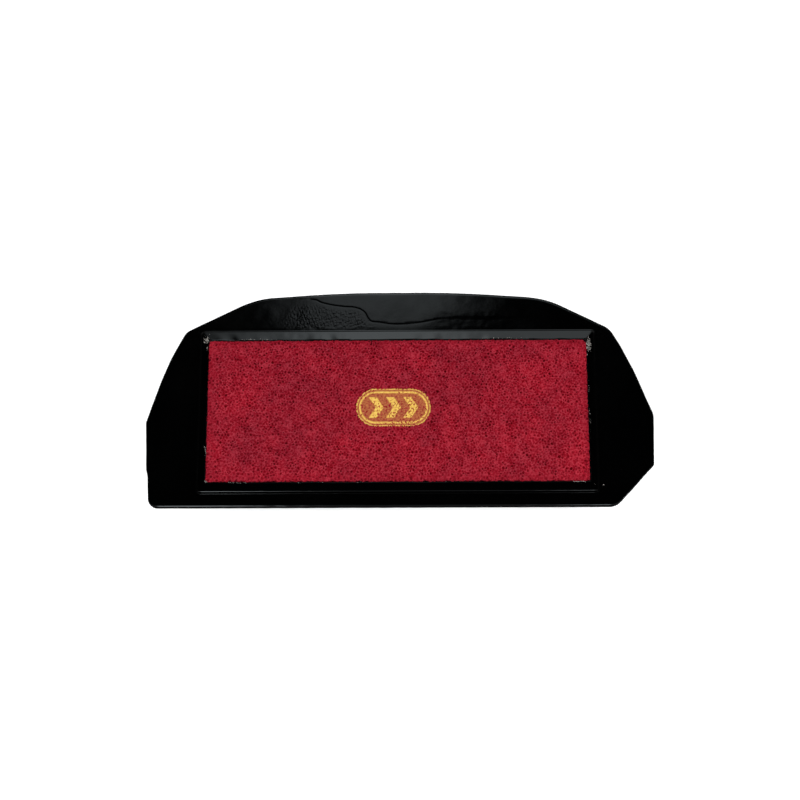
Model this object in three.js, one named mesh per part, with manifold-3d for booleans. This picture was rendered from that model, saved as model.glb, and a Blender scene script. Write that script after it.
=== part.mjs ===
// Panel air filter: an open-cell foam element bonded into a glossy black moulded flange frame, backed by a woven
// wire screen, with a sponge seal under the flange.
//
// Units are millimetres and +Z is up, towards the dusty side. The collar's underside lies on z = 0, and x = y = 0 is
// the centre of the flange's outline. +X is the filter's length.
import * as THREE from "three";
import { mergeVertices } from "three/addons/utils/BufferGeometryUtils.js";
import Module from "manifold-3d";

const wasm = await Module();
wasm.setup();

// ---------------------------------------------------------------- driving dimensions

// The foam element, two layers in one rectangular window
const FOAM_X = -1.2;
const FOAM_Y = -8.3;
const FOAM_LENGTH = 225;
const FOAM_WIDTH = 86.5;
const FOAM_CORNER = 1;
const FOAM_TOP = 26.8;
const FOAM_JOINT = 14.1;
const FOAM_BOTTOM = 5.1;

// The collar around the foam, and the rim where its top stands above the flange. The rim's outside is a steep step
const COLLAR_LENGTH = 234.5;
const COLLAR_WIDTH = 98.5;
const COLLAR_CORNER = 3.5;
const COLLAR_EDGE = 0.8;
const RIM_TOP = 26;
const RIM_RISE = 2;
const RIM_SLOPE = 0.8;
const RIM_CORNER = 1.8;
const BEAD_SPACE = 1.3;
const LEDGE_REACH = 5.5;
const LEDGE_TOP = 2;

// The flange plate. Each corner of its outline is [x, y, radius of the corner's arc]
const FLANGE_TOP = 24;
const FLANGE_BOTTOM = 19;
const FLANGE_EDGE = 1.1;
const FLANGE_CORNERS = [
  [-147.2, -66.2, 5.5],
  [126.6, -66.2, 9],
  [149.4, -41.4, 3],
  [150.3, -11.0, 10],
  [139.9, 15.5, 120],
  [131.6, 33.0, 60],
  [125.7, 43.0, 6],
  [87.5, 62.4, 55],
  [34.5, 66.25, 660],
  [-34.1, 66.25, 660],
  [-86.5, 62.6, 55],
  [-128.1, 41.7, 2.5],
  [-136.0, 26.5, 90],
  [-141.9, 11.5, 120],
  [-150.3, -14.5, 4],
  [-149.1, -43.4, 3],
  [-148.2, -47.6, 3],
];

// The sponge seal in its groove under the flange, as distances in from the flange's edge
const GROOVE_OUTER = 2.1;
const GROOVE_INNER = 5.9;
const GROOVE_DEPTH = 2;
const SEAL_PROUD = 1.4;

// The woven screen and the folded strip that binds its edge
const WIRE_RADIUS = 0.45;
const WIRE_CRIMP = 0.55;
const WIRE_SIDES = 6;
const MESH_PITCH = 12.7;
const CROSS_WIRES = 16;
const LONG_WIRES = 5;
const SCREEN_Z = 3.5;
const BORDER_REACH = 7.5;
const BORDER_HEIGHT = 2.6;
const BORDER_SHEET = 0.5;

// The generic printed mark on the foam
const MARK_X = -3.6;
const MARK_Y = -6.9;
const MARK_LENGTH = 45;
const MARK_WIDTH = 24;
const MARK_THICKNESS = 0.25;

// Clearances: between touching pieces, and for cuts that run past a face
const GAP = 0.2;
const THIN_GAP = 0.1;
const OVERRUN = 1;
const ARC_TOLERANCE = 0.05;

// ---------------------------------------------------------------- outlines

// What a corner [x, y, radius] needs for its arc: unit directions to its neighbours and half the angle between them.
function cornerFrame(corners, i) {
  const count = corners.length;
  const at = (k) => new THREE.Vector2(corners[(k + count) % count][0], corners[(k + count) % count][1]);
  const corner = at(i);
  const toPrevious = at(i - 1).sub(corner).normalize();
  const toNext = at(i + 1).sub(corner).normalize();
  const halfAngle = Math.acos(toPrevious.dot(toNext)) / 2;
  const bisector = toPrevious.clone().add(toNext).normalize();
  const convex = toNext.cross(toPrevious) > 0;
  return { corner, toPrevious, halfAngle, bisector, convex };
}

// A closed counter-clockwise outline through the corners, each one rounded by an arc of its radius.
function roundedOutline(corners) {
  const points = [];
  corners.forEach(([, , radius], i) => {
    const { corner, toPrevious, halfAngle, bisector, convex } = cornerFrame(corners, i);
    const centre = corner.clone().addScaledVector(bisector, radius / Math.sin(halfAngle));
    const start = corner.clone().addScaledVector(toPrevious, radius / Math.tan(halfAngle));
    const sweep = (Math.PI - 2 * halfAngle) * (convex ? 1 : -1);
    const largestStep = 2 * Math.acos(1 - ARC_TOLERANCE / radius);
    const steps = Math.max(2, Math.ceil(Math.abs(sweep) / largestStep));
    for (let k = 0; k <= steps; k += 1) {
      points.push(start.clone().rotateAround(centre, (sweep * k) / steps));
    }
  });
  return points;
}

// The same corners moved in from the outline by a distance, with their arcs kept concentric.
function insetCorners(corners, distance) {
  return corners.map(([, , radius], i) => {
    const { corner, halfAngle, bisector, convex } = cornerFrame(corners, i);
    const turn = convex ? 1 : -1;
    corner.addScaledVector(bisector, (turn * distance) / Math.sin(halfAngle));
    return [corner.x, corner.y, Math.max(radius - turn * distance, FLANGE_EDGE)];
  });
}

// The four corners of a rectangle centred on the foam window.
function windowCorners(length, width, radius) {
  const halfLength = length / 2;
  const halfWidth = width / 2;
  return [
    [FOAM_X - halfLength, FOAM_Y - halfWidth, radius],
    [FOAM_X + halfLength, FOAM_Y - halfWidth, radius],
    [FOAM_X + halfLength, FOAM_Y + halfWidth, radius],
    [FOAM_X - halfLength, FOAM_Y + halfWidth, radius],
  ];
}

// ---------------------------------------------------------------- solids

// A prism of the outline between two heights. edge rounds its top and bottom edges, over a height of edge and a
// width of run, in that number of steps: one step gives a plain slope.
function prism(corners, bottom, top, edge = 0, run = edge, steps = 2) {
  const geometry = new THREE.ExtrudeGeometry(new THREE.Shape(roundedOutline(corners)), {
    depth: top - bottom - 2 * edge,
    bevelEnabled: edge > 0,
    bevelThickness: edge,
    bevelSize: run,
    bevelOffset: -run,
    bevelSegments: steps,
  });
  return geometry.translate(0, 0, bottom + edge);
}

// Turns a closed geometry into a solid that can be joined and cut.
function solid(geometry) {
  const bare = geometry.clone();
  bare.deleteAttribute("normal");
  bare.deleteAttribute("uv");
  const welded = mergeVertices(bare, 1e-4);
  return new wasm.Manifold(
    new wasm.Mesh({
      numProp: 3,
      vertProperties: new Float32Array(welded.attributes.position.array),
      triVerts: new Uint32Array(welded.index.array),
    }),
  );
}

// Turns a joined or cut solid back into a geometry.
function geometryOf(body) {
  const mesh = body.getMesh();
  const geometry = new THREE.BufferGeometry();
  geometry.setAttribute("position", new THREE.BufferAttribute(mesh.vertProperties, 3));
  geometry.setIndex(new THREE.BufferAttribute(mesh.triVerts, 1));
  return geometry;
}

// A flat ring between two outlines and two heights.
function ring(outerCorners, innerCorners, bottom, top) {
  const outer = solid(prism(outerCorners, bottom, top));
  const inner = solid(prism(innerCorners, bottom - OVERRUN, top + OVERRUN));
  return outer.subtract(inner);
}

// ---------------------------------------------------------------- sub-parts

const WALL_LENGTH = FOAM_LENGTH + 2 * BEAD_SPACE;
const WALL_WIDTH = FOAM_WIDTH + 2 * BEAD_SPACE;
const WALL_CORNER = FOAM_CORNER + GAP;

// The moulding: a flange plate, a collar and a rim in one, with the foam's well, the rear ledge and the seal's groove.
function flangeFrame() {
  const plate = solid(prism(FLANGE_CORNERS, FLANGE_BOTTOM, FLANGE_TOP, FLANGE_EDGE));
  const collarCorners = windowCorners(COLLAR_LENGTH, COLLAR_WIDTH, COLLAR_CORNER);
  const collar = solid(prism(collarCorners, 0, FLANGE_TOP, COLLAR_EDGE));
  const rimCorners = windowCorners(
    COLLAR_LENGTH + 2 * RIM_SLOPE,
    COLLAR_WIDTH + 2 * RIM_SLOPE,
    RIM_CORNER + RIM_SLOPE,
  );
  const rim = solid(prism(rimCorners, FLANGE_BOTTOM + OVERRUN, RIM_TOP, RIM_RISE, RIM_SLOPE, 1));
  const wellCorners = windowCorners(WALL_LENGTH, WALL_WIDTH, WALL_CORNER);
  const well = solid(prism(wellCorners, LEDGE_TOP, RIM_TOP + OVERRUN));
  const openingCorners = windowCorners(WALL_LENGTH - 2 * LEDGE_REACH, WALL_WIDTH - 2 * LEDGE_REACH, FOAM_CORNER);
  const opening = solid(prism(openingCorners, -OVERRUN, LEDGE_TOP + OVERRUN));
  const groove = ring(
    insetCorners(FLANGE_CORNERS, GROOVE_OUTER),
    insetCorners(FLANGE_CORNERS, GROOVE_INNER),
    FLANGE_BOTTOM - OVERRUN,
    FLANGE_BOTTOM + GROOVE_DEPTH,
  );
  return geometryOf(plate.add(collar).add(rim).subtract(well).subtract(opening).subtract(groove));
}

// A closed strip of square-cut sponge that stands proud of the flange's underside.
function perimeterSeal() {
  return geometryOf(
    ring(
      insetCorners(FLANGE_CORNERS, GROOVE_OUTER + GAP),
      insetCorners(FLANGE_CORNERS, GROOVE_INNER - GAP),
      FLANGE_BOTTOM - SEAL_PROUD,
      FLANGE_BOTTOM + GROOVE_DEPTH - GAP,
    ),
  );
}

// One layer of the foam element.
function foamPad(bottom, top) {
  return prism(windowCorners(FOAM_LENGTH, FOAM_WIDTH, FOAM_CORNER), bottom, top);
}

// A bead of adhesive all round the foam, between it and the collar's wall.
function adhesiveBead(bottom, top) {
  return geometryOf(
    ring(
      windowCorners(WALL_LENGTH - 2 * GAP, WALL_WIDTH - 2 * GAP, WALL_CORNER),
      windowCorners(FOAM_LENGTH + 2 * GAP, FOAM_WIDTH + 2 * GAP, FOAM_CORNER),
      bottom,
      top,
    ),
  );
}

// The sheet strip folded over the screen's edge: a channel that opens inwards, all round the ledge.
function screenBorder() {
  const length = WALL_LENGTH - 2 * GAP;
  const width = WALL_WIDTH - 2 * GAP;
  const bottom = SCREEN_Z - BORDER_HEIGHT / 2;
  const top = SCREEN_Z + BORDER_HEIGHT / 2;
  const strip = ring(
    windowCorners(length, width, FOAM_CORNER),
    windowCorners(length - 2 * BORDER_REACH, width - 2 * BORDER_REACH, FOAM_CORNER),
    bottom,
    top,
  );
  const channel = ring(
    windowCorners(length - 2 * BORDER_SHEET, width - 2 * BORDER_SHEET, FOAM_CORNER),
    windowCorners(length - 2 * BORDER_REACH - OVERRUN, width - 2 * BORDER_REACH - OVERRUN, FOAM_CORNER),
    bottom + BORDER_SHEET,
    top - BORDER_SHEET,
  );
  return geometryOf(strip.subtract(channel));
}

// A wire along +Y, straight between its bends. It bends over and under the wires it crosses, one every pitch, and
// its two ends lie in the screen's middle plane. phase chooses whether it starts over or under.
function crimpedWire(crossings, phase) {
  const spans = crossings + 1;
  const length = spans * MESH_PITCH;
  const geometry = new THREE.CylinderGeometry(WIRE_RADIUS, WIRE_RADIUS, length, WIRE_SIDES, spans);
  const position = geometry.attributes.position;
  for (let i = 0; i < position.count; i += 1) {
    const bend = Math.round((position.getY(i) + length / 2) / MESH_PITCH);
    const isEnd = bend === 0 || bend === spans;
    const side = (bend + phase) % 2 === 0 ? 1 : -1;
    position.setZ(i, position.getZ(i) + (isEnd ? 0 : side * WIRE_CRIMP));
  }
  return geometry;
}

// A plain oval plate for the print on the foam.
function printedMark() {
  const corners = windowCorners(MARK_LENGTH, MARK_WIDTH, MARK_WIDTH / 2 - THIN_GAP);
  const bottom = FOAM_TOP + THIN_GAP;
  return prism(corners, bottom, bottom + MARK_THICKNESS).translate(MARK_X - FOAM_X, MARK_Y - FOAM_Y, 0);
}

// ---------------------------------------------------------------- materials

const glossBlackMoulding = new THREE.MeshStandardMaterial({ color: 0x0a0a0b, roughness: 0.16, metalness: 0 });
const spongeRubber = new THREE.MeshStandardMaterial({ color: 0x1c1c1d, roughness: 0.95, metalness: 0 });
const redFoam = new THREE.MeshStandardMaterial({ color: 0x8f1c2b, roughness: 0.8, metalness: 0 });
const greenFoam = new THREE.MeshStandardMaterial({ color: 0x3f6b4a, roughness: 0.9, metalness: 0 });
const clearAdhesive = new THREE.MeshStandardMaterial({ color: 0xb9b2a6, roughness: 0.35, metalness: 0 });
const zincSteel = new THREE.MeshStandardMaterial({ color: 0xa9adb0, roughness: 0.38, metalness: 1 });
const printInk = new THREE.MeshStandardMaterial({ color: 0xebb850, roughness: 0.6, metalness: 0 });

// ---------------------------------------------------------------- assembly

const filter = new THREE.Group();

function addPiece(name, geometry, material, parent = filter) {
  const mesh = new THREE.Mesh(geometry, material);
  mesh.name = name;
  parent.add(mesh);
  return mesh;
}

addPiece("flange_frame", flangeFrame(), glossBlackMoulding);
addPiece("perimeter_seal", perimeterSeal(), spongeRubber);
addPiece("coarse_foam_pad", foamPad(FOAM_JOINT + THIN_GAP, FOAM_TOP), redFoam);
addPiece("fine_foam_pad", foamPad(FOAM_BOTTOM, FOAM_JOINT - THIN_GAP), greenFoam);
addPiece("front_adhesive_bead", adhesiveBead(FLANGE_BOTTOM, RIM_TOP - GAP), clearAdhesive);
addPiece("rear_adhesive_bead", adhesiveBead(FOAM_BOTTOM, FOAM_JOINT - GAP), clearAdhesive);
addPiece("printed_mark", printedMark(), printInk);
addPiece("screen_border", screenBorder(), zincSteel);

const screen = new THREE.Group();
screen.position.set(FOAM_X, FOAM_Y, SCREEN_Z);
filter.add(screen);

for (let i = 0; i < CROSS_WIRES; i += 1) {
  const wire = addPiece(`screen_cross_wire_${i + 1}`, crimpedWire(LONG_WIRES, i), zincSteel, screen);
  wire.position.x = (i - (CROSS_WIRES - 1) / 2) * MESH_PITCH;
}

for (let j = 0; j < LONG_WIRES; j += 1) {
  const wire = addPiece(`screen_long_wire_${j + 1}`, crimpedWire(CROSS_WIRES, j + 1), zincSteel, screen);
  wire.rotation.z = -Math.PI / 2;
  wire.position.y = (j - (LONG_WIRES - 1) / 2) * MESH_PITCH;
}

export default filter;
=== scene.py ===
"""Looks of a panel air filter: red open-cell foam bonded in a glossy black moulded flange frame.

Lengths are metres in the part's own frame. Names that end in _MM are in millimetres.
"""

import math

import bpy
import numpy as np
from mathutils import Matrix, Vector, geometry


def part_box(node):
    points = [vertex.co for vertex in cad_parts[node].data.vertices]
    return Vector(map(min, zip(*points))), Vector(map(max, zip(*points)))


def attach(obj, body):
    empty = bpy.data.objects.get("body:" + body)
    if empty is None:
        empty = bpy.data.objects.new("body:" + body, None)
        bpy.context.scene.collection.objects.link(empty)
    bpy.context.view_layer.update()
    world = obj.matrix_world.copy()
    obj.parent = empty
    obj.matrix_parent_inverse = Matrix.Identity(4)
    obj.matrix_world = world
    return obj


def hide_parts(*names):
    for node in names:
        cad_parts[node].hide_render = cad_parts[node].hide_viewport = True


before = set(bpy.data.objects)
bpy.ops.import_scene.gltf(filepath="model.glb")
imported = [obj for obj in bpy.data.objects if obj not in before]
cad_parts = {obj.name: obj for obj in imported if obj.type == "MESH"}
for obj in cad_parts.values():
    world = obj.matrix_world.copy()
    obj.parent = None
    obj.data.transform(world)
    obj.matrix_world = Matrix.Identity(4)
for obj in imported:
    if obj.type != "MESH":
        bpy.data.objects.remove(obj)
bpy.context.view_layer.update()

MM = 0.001
BODY = "root"

# ------------------------------------------------------------------ sizes, from the frame's boxes


def size_and_centre(node):
    low, high = (np.array(corner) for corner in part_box(node))
    return high - low, (high + low) / 2


def bottom_and_top(node):
    low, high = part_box(node)
    return low[2], high[2]


RIM_TOP = bottom_and_top("flange_frame")[1]
FOAM_SIZE, FOAM_CENTRE = size_and_centre("coarse_foam_pad")
FOAM_JOINT, FOAM_TOP = bottom_and_top("coarse_foam_pad")
FINE_SIZE, _ = size_and_centre("fine_foam_pad")
FINE_LOW, FINE_TOP = bottom_and_top("fine_foam_pad")
BEAD_LOW, BEAD_TOP = bottom_and_top("front_adhesive_bead")
REAR_LOW, REAR_TOP = bottom_and_top("rear_adhesive_bead")
BORDER_SIZE, BORDER_CENTRE = size_and_centre("screen_border")
BORDER_LOW, BORDER_HIGH = bottom_and_top("screen_border")
MARK_SIZE, MARK_CENTRE = size_and_centre("printed_mark")
MARK_LOW, _ = bottom_and_top("printed_mark")
WINDOW = FOAM_CENTRE[:2]

FLANGE_TOP = 24 * MM
FLANGE_BOTTOM = 19 * MM
# The corners of the flange's outline: x, y and radius
CORNERS_MM = [
    (-147.2, -66.2, 5.5),
    (126.6, -66.2, 9),
    (149.4, -41.4, 3),
    (150.3, -11.0, 10),
    (139.9, 15.5, 120),
    (131.6, 33.0, 60),
    (125.7, 43.0, 12),
    (87.5, 62.4, 55),
    (34.5, 66.25, 660),
    (-34.1, 66.25, 660),
    (-86.5, 62.6, 55),
    (-128.1, 41.7, 9),
    (-136.0, 26.5, 90),
    (-141.9, 11.5, 120),
    (-150.3, -14.5, 4),
    (-149.1, -43.4, 3),
    (-148.2, -47.6, 3),
]
OUTLINE_STEP = 1.5 * MM
SMALLEST_ARC = 0.9 * MM
FEWEST_ARC_STEPS = 6

# Rounded rectangles around the foam, each a length, width and corner radius: the collar, the raised rim, the
# well's wall, the rim's lip over the foam, and the opening in the ledge under the foam
COLLAR_MM = (234.5, 98.5, 3.5)
RIM_MM = (234.5, 98.5, 1.8)
WALL_MM = (227.6, 89.1, 1.2)
LIP_MM = (225.7, 87.2, 1.0)
LEDGE_OPENING_MM = (216.6, 78.1, 1.0)
LEDGE_TOP = 2 * MM
RIM_SLOPE = 0.8 * MM

# ------------------------------------------------------------------ outlines


def unit(vectors):
    return vectors / np.linalg.norm(vectors, axis=1, keepdims=True)


def corner_frames(points):
    """For each corner: directions to its neighbours, half the angle between them, the bisector and turn."""
    to_previous = unit(np.roll(points, 1, 0) - points)
    to_next = unit(np.roll(points, -1, 0) - points)
    half = np.arccos(np.sum(to_previous * to_next, 1)) / 2
    bisector = unit(to_previous + to_next)
    cross = to_next[:, 0] * to_previous[:, 1] - to_next[:, 1] * to_previous[:, 0]
    return to_previous, to_next, half, bisector, np.sign(cross)


class Outline:
    """A closed outline of straight stretches and arcs, with the same number of points at every inset."""

    def __init__(self, corners, like=None):
        """corners are in millimetres. The outline takes its numbers of steps from the outline like."""
        self.points = np.array([corner[:2] for corner in corners]) * MM
        self.radii = np.array([corner[2] for corner in corners]) * MM
        if like is not None:
            self.arc_steps, self.line_steps = like.arc_steps, like.line_steps
            return
        _, _, half, _, _ = corner_frames(self.points)
        sweep = math.pi - 2 * half
        arc_steps = np.ceil(sweep * self.radii / OUTLINE_STEP)
        self.arc_steps = np.maximum(FEWEST_ARC_STEPS, arc_steps).astype(int)
        starts, ends = self._tangents(self.points, self.radii)
        gaps = np.linalg.norm(np.roll(starts, -1, 0) - ends, axis=1)
        self.line_steps = np.maximum(1, np.round(gaps / OUTLINE_STEP)).astype(int)

    def _tangents(self, points, radii):
        to_previous, to_next, half, _, _ = corner_frames(points)
        reach = (radii / np.tan(half))[:, None]
        return points + to_previous * reach, points + to_next * reach

    def at(self, inset=0.0):
        _, _, half, bisector, turn = corner_frames(self.points)
        points = self.points + bisector * (turn * inset / np.sin(half))[:, None]
        radii = np.maximum(self.radii - turn * inset, SMALLEST_ARC)
        starts, ends = self._tangents(points, radii)
        centres = points + bisector * (radii / np.sin(half))[:, None]
        result = []
        for i, steps in enumerate(self.arc_steps):
            sweep = (math.pi - 2 * half[i]) * turn[i]
            for k in range(steps):
                angle = sweep * k / steps
                turned = Matrix.Rotation(angle, 2) @ Vector(starts[i] - centres[i])
                result.append(centres[i] + np.array(turned))
            target = starts[(i + 1) % len(starts)]
            for k in range(self.line_steps[i]):
                result.append(ends[i] + (target - ends[i]) * k / self.line_steps[i])
        return np.array(result)


def window_outline(length, width, radius, like=None):
    """A rounded rectangle around the foam window, its sizes in millimetres."""
    cx, cy = WINDOW / MM
    x, y = length / 2, width / 2
    corners = [(cx - x, cy - y), (cx + x, cy - y), (cx + x, cy + y), (cx - x, cy + y)]
    return Outline([(px, py, radius) for px, py in corners], like)


FLANGE = Outline(CORNERS_MM)
COLLAR = window_outline(*COLLAR_MM)
RIM = window_outline(*RIM_MM, COLLAR)
WALL = window_outline(*WALL_MM, COLLAR)
LIP = window_outline(*LIP_MM, COLLAR)
LEDGE_OPENING = window_outline(*LEDGE_OPENING_MM, COLLAR)


# ------------------------------------------------------------------ smooth random fields


def ripple(x, y, wavelength, seed, waves=24):
    """A smooth random field of about unit height: a sum of plane waves in every direction."""
    draw = np.random.default_rng(seed)
    angles = draw.uniform(0, 2 * math.pi, waves)
    lengths = wavelength * draw.uniform(0.7, 1.4, waves)
    phases = draw.uniform(0, 2 * math.pi, waves)
    total = np.zeros(np.shape(x))
    for angle, length, phase in zip(angles, lengths, phases):
        total += np.sin(2 * math.pi * (x * math.cos(angle) + y * math.sin(angle)) / length + phase)
    return total * math.sqrt(2 / waves)


def swells(x, y, *waves_mm):
    """A sum of ripples, each given as its height, wavelength and seed."""
    return sum(height * MM * ripple(x, y, wavelength * MM, seed) for height, wavelength, seed in waves_mm)


def smooth_step(value, low, high):
    """0 up to low, 1 from high on, and smooth between them."""
    t = np.clip((value - low) / (high - low), 0, 1)
    return t * t * (3 - 2 * t)


# ------------------------------------------------------------------ node materials


class Nodes:
    """A short way to write the node tree of a material or world."""

    def __init__(self, owner):
        owner.use_nodes = True
        self.owner = owner
        self.tree = owner.node_tree
        self.shader = self.tree.nodes.get("Principled BSDF")

    def add(self, kind, **values):
        node = self.tree.nodes.new("ShaderNode" + kind)
        for key, value in values.items():
            if hasattr(node, key):
                setattr(node, key, value)
            else:
                node.inputs[key.replace("_", " ")].default_value = value
        return node

    def link(self, source, target):
        self.tree.links.new(source, target)

    def place(self):
        return self.add("TexCoord").outputs["Object"]

    def noise(self, scale, detail=3.0, roughness=0.5):
        node = self.add("TexNoise", Scale=scale, Detail=detail, Roughness=roughness)
        self.link(self.place(), node.inputs["Vector"])
        return node.outputs["Fac"]

    def attribute(self, name):
        return self.add("Attribute", attribute_name=name).outputs["Fac"]

    def math(self, operation, a, b=0.0):
        node = self.add("Math", operation=operation)
        for socket, value in zip(node.inputs, (a, b)):
            if isinstance(value, (int, float)):
                socket.default_value = value
            else:
                self.link(value, socket)
        return node.outputs["Value"]

    def spread(self, value, low, high, new_low=0.0, new_high=1.0, smooth=False):
        node = self.add("MapRange", From_Min=low, From_Max=high, To_Min=new_low, To_Max=new_high)
        node.interpolation_type = "SMOOTHSTEP" if smooth else "LINEAR"
        self.link(value, node.inputs["Value"])
        return node.outputs["Result"]

    def ramp(self, value, *stops):
        node = self.add("ValToRGB")
        while len(node.color_ramp.elements) < len(stops):
            node.color_ramp.elements.new(0.5)
        for element, (position, colour) in zip(node.color_ramp.elements, stops):
            element.position = position
            element.color = (*colour, 1)
        self.link(value, node.inputs["Fac"])
        return node.outputs["Color"]

    def mix(self, factor, a, b, blend="MIX"):
        node = self.add("Mix", data_type="RGBA", blend_type=blend)
        for socket, value in ((node.inputs[0], factor), (node.inputs[6], a), (node.inputs[7], b)):
            if isinstance(value, (int, float)):
                socket.default_value = value
            elif isinstance(value, tuple):
                socket.default_value = (*value, 1)
            else:
                self.link(value, socket)
        return node.outputs[2]

    def bump(self, *layers):
        """Stacks bump layers, each one (height, distance in metres, strength)."""
        normal = None
        for height, distance, strength in layers:
            node = self.add("Bump", Distance=distance, Strength=strength)
            self.link(height, node.inputs["Height"])
            if normal is not None:
                self.link(normal, node.inputs["Normal"])
            normal = node.outputs["Normal"]
        self.link(normal, self.shader.inputs["Normal"])

    def set(self, **values):
        for key, value in values.items():
            socket = self.shader.inputs[key.replace("_", " ")]
            if isinstance(value, (int, float)):
                socket.default_value = value
            elif isinstance(value, tuple):
                socket.default_value = (*value, 1)
            else:
                self.link(value, socket)


def new_material(name):
    return Nodes(bpy.data.materials.new(name))


def moulding_material():
    """Glossy cast black: fine orange peel, a little dust and slight smears in its gloss."""
    n = new_material("gloss_black_moulding")
    smear = n.noise(28, 4, 0.55)
    dust = n.spread(n.noise(2600, 2, 0.6), 0.7, 0.8)
    base = n.ramp(smear, (0.3, (0.00015, 0.00017, 0.00019)), (0.75, (0.00025, 0.00027, 0.0003)))
    n.set(Base_Color=n.mix(n.math("MULTIPLY", dust, 0.05), base, (0.16, 0.15, 0.14)))
    n.set(Roughness=n.math("ADD", n.spread(smear, 0.3, 0.75, 0.045, 0.10), n.math("MULTIPLY", dust, 0.25)))
    n.set(IOR=1.5)
    n.bump((n.noise(230, 2, 0.45), 0.00002, 0.5), (n.noise(950, 3, 0.5), 0.000006, 0.5))
    return n.owner


# Factors on red, green and blue where the foam is darkest and lightest over a few centimetres
FOAM_DARK_TINT = (0.79, 0.90, 0.89)
FOAM_LIGHT_TINT = (1.24, 1.065, 1.045)


def foam_material(name, painted_glint, crest, shaded_flank, shaded_hollow, edge, web_scale):
    """Open-cell foam. The pore attribute runs from 0 on a strut's crest to 1 deep in a cell. Its colours
    paint the light: a painted highlight on the crests and on a web of strands, and painted shade that deepens
    down into the cells.
    """
    n = new_material(name)
    grain = n.noise(700, 4, 0.7)
    clusters = n.noise(190, 3, 0.6)
    web = n.add("TexVoronoi", feature="DISTANCE_TO_EDGE", Scale=web_scale, Randomness=1.0)
    n.link(n.place(), web.inputs["Vector"])
    strand = n.spread(web.outputs["Distance"], 0.02, 0.22, 1.0, 0.0, smooth=True)
    depth = n.math("ADD", n.attribute("pore"), n.spread(clusters, 0.3, 0.7, 0.15, 0.31))
    depth = n.math("ADD", depth, n.spread(grain, 0.3, 0.7, -0.35, 0.35))
    # The web's strands are pushed towards the lightest colour: painted highlight strands.
    depth = n.math("SUBTRACT", depth, n.math("MULTIPLY", strand, 0.27))
    # From the painted highlight through the crest's colour to painted shade in the hollows.
    cells = n.ramp(depth, (0.0, painted_glint), (0.28, crest), (0.62, shaded_flank), (1.0, shaded_hollow))
    patches = n.spread(n.noise(60, 3, 0.6), 0.3, 0.7, 0.0, 0.7)
    regions = n.spread(n.noise(14, 2), 0.3, 0.7, 0.0, 0.3)
    tint = n.mix(n.math("ADD", patches, regions), FOAM_DARK_TINT, FOAM_LIGHT_TINT)
    shaded = n.mix(1.0, cells, tint, "MULTIPLY")
    rim = n.math("MULTIPLY", n.attribute("edge"), n.spread(grain, 0.25, 0.6, 0.5, 1.0))
    n.set(Base_Color=n.mix(rim, shaded, edge), Roughness=0.68, Specular_IOR_Level=0.04)
    n.bump((grain, 0.00018, 0.6), (strand, 0.0001, 0.5))
    return n.owner


def sponge_material():
    n = new_material("seal_sponge_skin")
    grain = n.noise(1500, 4, 0.6)
    base = n.ramp(grain, (0.3, (0.006, 0.006, 0.0065)), (0.75, (0.022, 0.022, 0.023)))
    n.set(Base_Color=base, Roughness=0.86)
    n.bump((grain, 0.0002, 0.7), (n.noise(300, 2, 0.5), 0.0003, 0.5))
    return n.owner


def adhesive_material():
    """Dried glue: dark and clear where it is thin, milky where the pale attribute says so. Some pale flakes
    of it are painted highlight specks.
    """
    n = new_material("dried_adhesive_and_highlight_specks")
    pale = n.math("MULTIPLY", n.attribute("pale"), n.spread(n.noise(1400, 3, 0.6), 0.3, 0.6, 0.45, 1.0))
    n.set(Base_Color=n.mix(pale, (0.012, 0.008, 0.008), (0.50, 0.47, 0.43)))
    n.set(Roughness=n.spread(n.noise(700), 0.3, 0.7, 0.3, 0.55), IOR=1.48)
    n.bump((n.noise(1100, 3, 0.6), 0.00015, 0.6))
    return n.owner


def ink_material():
    """Two inks on foam: the line attribute chooses the bright yellow, and cells break both up."""
    n = new_material("foam_print_ink")
    line = n.attribute("line")
    grain = n.noise(820, 4, 0.62)
    ground = n.ramp(
        grain,
        (0.30, (0.19, 0.028, 0.015)),
        (0.52, (0.30, 0.080, 0.025)),
        (0.72, (0.40, 0.14, 0.045)),
    )
    bright = n.ramp(
        grain,
        (0.28, (0.46, 0.22, 0.037)),
        (0.50, (0.60, 0.38, 0.068)),
        (0.75, (0.68, 0.49, 0.125)),
    )
    n.set(Base_Color=n.mix(line, ground, bright), Roughness=0.55, Specular_IOR_Level=0.35)
    n.bump((grain, 0.0002, 0.7))
    return n.owner


def steel_material(name, brushed):
    """Zinc-plated steel, dulled unevenly. brushed adds the rolling lines of sheet."""
    n = new_material(name)
    cloud = n.noise(160, 4, 0.6)
    spangle = n.noise(900, 2, 0.5)
    base = n.ramp(cloud, (0.25, (0.30, 0.31, 0.32)), (0.7, (0.55, 0.56, 0.56)))
    n.set(Base_Color=base, Metallic=1.0)
    n.set(Roughness=n.spread(spangle, 0.3, 0.7, 0.26, 0.5))
    n.bump((n.noise(2400 if brushed else 1300, 3, 0.6), 0.00006, 0.6))
    return n.owner


# ------------------------------------------------------------------ pieces


def make_piece(name, vertices, faces, material, smooth=True, **attributes):
    """A mesh object. Each attribute is a list of one value per vertex, for the material to read."""
    mesh = bpy.data.meshes.new(name)
    mesh.from_pydata([tuple(v) for v in vertices], [], faces)
    mesh.materials.append(material)
    for key, values in attributes.items():
        mesh.attributes.new(key, "FLOAT", "POINT").data.foreach_set("value", np.asarray(values, np.float32))
    if smooth:
        mesh.polygons.foreach_set("use_smooth", [True] * len(mesh.polygons))
    mesh.validate()
    mesh.update()
    piece = bpy.data.objects.new(name, mesh)
    bpy.context.scene.collection.objects.link(piece)
    return piece


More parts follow.
